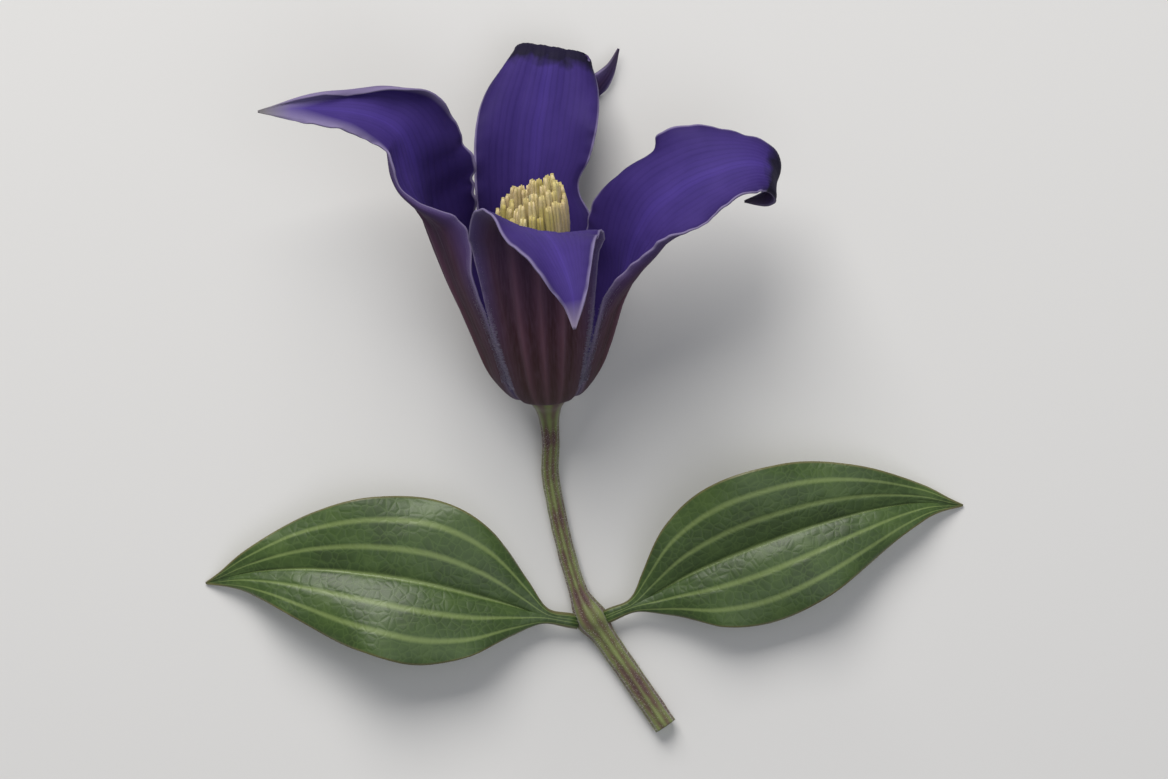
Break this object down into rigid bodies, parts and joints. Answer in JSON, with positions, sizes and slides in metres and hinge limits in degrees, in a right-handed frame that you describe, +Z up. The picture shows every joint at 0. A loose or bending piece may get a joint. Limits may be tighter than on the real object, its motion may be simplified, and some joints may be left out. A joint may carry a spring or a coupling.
{
  "type": "clematis flower",
  "caption": "Cut clematis bloom lying on its stalk, a bell of velvety blue-violet sepals with recurved tips round a brush of pale yellow stamens, leaves at the stem's node.",
  "frame": {"origin": "middle of the bounding box, on the surface that the flower lies on", "axes": "+Z up from the surface, +Y the way the bloom points, away from the cut stem end, +X to the bloom's right, along the spread of its leaves"},
  "size_m": [0.1034, 0.0936, 0.0453],
  "materials": {
    "stalk": "fresh downy stem, olive green flushed with brown-purple, matt",
    "sepal": "velvety blue-violet sepal, lilac ribbed outside with pale felted margins",
    "stamen": "matt pale yellow anthers on cream filaments",
    "pistil": "silky pale green-cream styles",
    "leaf": "fresh leaf, mid green with a soft sheen above, paler and matt underneath"
  },
  "bodies": {
    "root": {"stalk": "stalk", "sepal_back": "sepal", "sepal_left": "sepal", "sepal_right": "sepal", "sepal_front": "sepal", "stamens": "stamen", "pistils": "pistil", "leaf_left": "leaf", "leaf_right": "leaf"}
  },
  "joints": []
}
